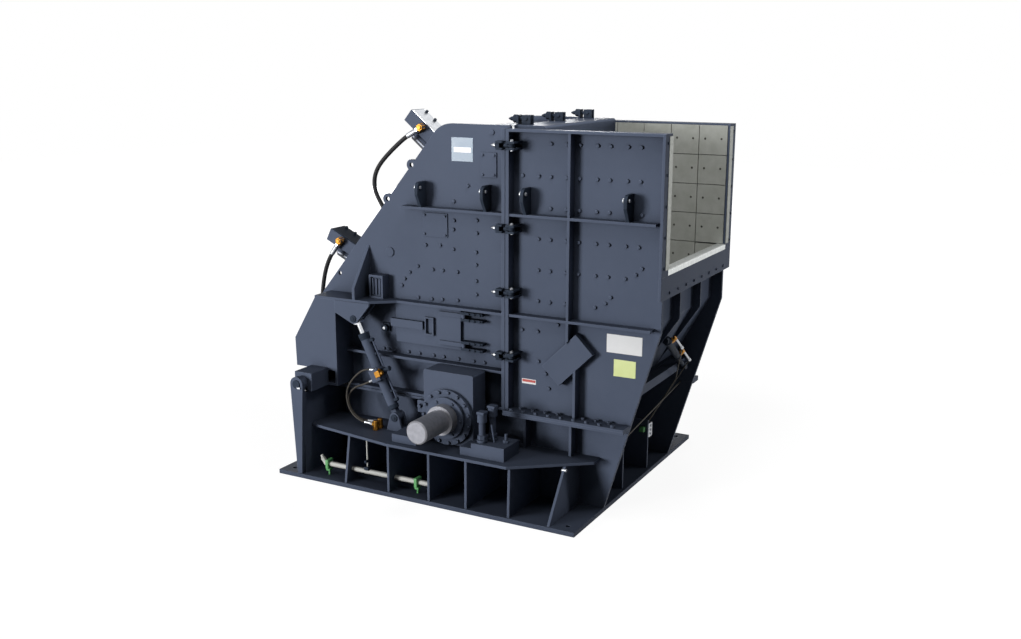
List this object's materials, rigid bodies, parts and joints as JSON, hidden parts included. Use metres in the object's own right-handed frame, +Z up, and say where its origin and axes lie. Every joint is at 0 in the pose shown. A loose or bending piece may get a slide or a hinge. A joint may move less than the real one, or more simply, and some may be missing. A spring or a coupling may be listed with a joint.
{
  "type": "impact crusher",
  "caption": "Stationary impact crusher: open feed box, sloping hinged rear hood with apron adjusters, bar rotor on a heavy shaft, and opening cylinders on a ribbed base frame.",
  "frame": {"origin": "centre of the base's four anchor holes, on the underside that stands on the foundation", "axes": "+X towards the feed opening, -Y the side that the drive shaft stands out of, +Z up"},
  "size_m": [4.49, 3.81, 4.2208],
  "materials": {
    "frame_paint": "dark slate-blue satin machine paint on rolled plate",
    "shaft_steel": "turned bare steel",
    "rotor_steel": "dark painted rotor body",
    "wear_steel": "grey-olive wear plate, dry and slightly scuffed",
    "sill_steel": "pale worn steel",
    "rod_chrome": "hard chrome rod",
    "brass": "yellow-passivated hydraulic fitting",
    "white_pipe": "white painted pipe",
    "hose_rubber": "black hydraulic hose"
  },
  "bodies": {
    "lower_frame": {"base_side_plates": "frame_paint", "base_end_plates": "frame_paint", "benches": "frame_paint", "bench_fins": "frame_paint", "service_pipe": "white_pipe", "lower_side_walls": "frame_paint", "lower_cross_walls": "frame_paint", "feed_base_fins": "frame_paint", "lower_flanges": "frame_paint", "pivot_brackets": "frame_paint", "cylinder_clevises": "frame_paint", "bearing_near": "frame_paint", "bearing_far": "frame_paint", "front_side_walls": "frame_paint", "front_bars": "frame_paint", "front_uprights": "frame_paint", "slanting_covers": "frame_paint", "feed_flanges": "frame_paint", "sill_plate": "frame_paint", "wear_bar": "sill_steel", "feed_chute": "wear_steel", "feed_skirt": "frame_paint", "feed_ribs": "frame_paint", "feed_beam": "frame_paint", "feed_jack": "frame_paint", "side_liners": "wear_steel", "top_beam": "frame_paint", "latch_ears": "frame_paint", "front_lugs": "frame_paint", "valve_hose": "hose_rubber", "return_hose": "hose_rubber", "bench_elbows": "brass"},
    "rotor": {"rotor_shaft": "shaft_steel", "rotor_body": "rotor_steel", "blow_bars": "wear_steel"},
    "rear_frame": {"rear_wall_near": "frame_paint", "rear_wall_far": "frame_paint", "hood_top_plate": "frame_paint", "hood_slope_plate": "frame_paint", "rear_back_plate": "frame_paint", "rear_bars": "frame_paint", "rear_posts": "frame_paint", "arm_boxes": "frame_paint", "cylinder_brackets": "frame_paint", "shelf_gussets": "frame_paint", "upper_apron": "wear_steel", "lower_apron": "wear_steel", "upper_adjusters": "frame_paint", "lower_adjusters": "frame_paint", "latch_nuts": "frame_paint", "door_hinges": "frame_paint", "rear_lugs": "frame_paint", "upper_hose": "hose_rubber", "lower_hose": "hose_rubber"},
    "barrel_near": {"barrel_near": "frame_paint"},
    "barrel_far": {"barrel_far": "frame_paint"},
    "rod_near": {"rod_near": "rod_chrome"},
    "rod_far": {"rod_far": "rod_chrome"},
    "door_near": {"door_near": "frame_paint"},
    "door_far": {"door_far": "frame_paint"}
  },
  "joints": [
    {"name": "rotor_spin", "type": "hinge", "parent": "lower_frame", "child": "rotor", "pos_m": [0.22, 0, 0.94], "axis": [0, 1, 0], "continuous": true},
    {"name": "rear_frame_open", "type": "hinge", "parent": "lower_frame", "child": "rear_frame", "pos_m": [-1.62, 0, 1.13], "axis": [0, -1, 0], "range_deg": [0, 30]},
    {"name": "barrel_swing_near", "type": "hinge", "parent": "lower_frame", "child": "barrel_near", "pos_m": [-0.555, -1.26, 0.775], "axis": [0, -1, 0], "range_deg": [0, 12], "deforming": ["valve_hose", "return_hose"]},
    {"name": "rod_slide_near", "type": "slide", "parent": "barrel_near", "child": "rod_near", "axis": [-0.4358, 0, 0.9001], "range_m": [0, 0.39]},
    {"name": "barrel_swing_far", "type": "hinge", "parent": "lower_frame", "child": "barrel_far", "pos_m": [-0.555, 1.26, 0.775], "axis": [0, -1, 0], "range_deg": [0, 12]},
    {"name": "rod_slide_far", "type": "slide", "parent": "barrel_far", "child": "rod_far", "axis": [-0.4358, 0, 0.9001], "range_m": [0, 0.39]},
    {"name": "door_swing_near", "type": "hinge", "parent": "rear_frame", "child": "door_near", "pos_m": [0.22, -1.062, 1.8325], "axis": [0, 0, 1], "range_deg": [0, 100]},
    {"name": "door_swing_far", "type": "hinge", "parent": "rear_frame", "child": "door_far", "pos_m": [0.22, 1.062, 1.8325], "axis": [0, 0, -1], "range_deg": [0, 100]}
  ],
  "couplings": [
    {"joint": "barrel_swing_near", "follows": "rear_frame_open", "ratio": 0.3925},
    {"joint": "rod_slide_near", "follows": "rear_frame_open", "m_per_rad": 0.736},
    {"joint": "barrel_swing_far", "follows": "rear_frame_open", "ratio": 0.3925},
    {"joint": "rod_slide_far", "follows": "rear_frame_open", "m_per_rad": 0.736}
  ]
}
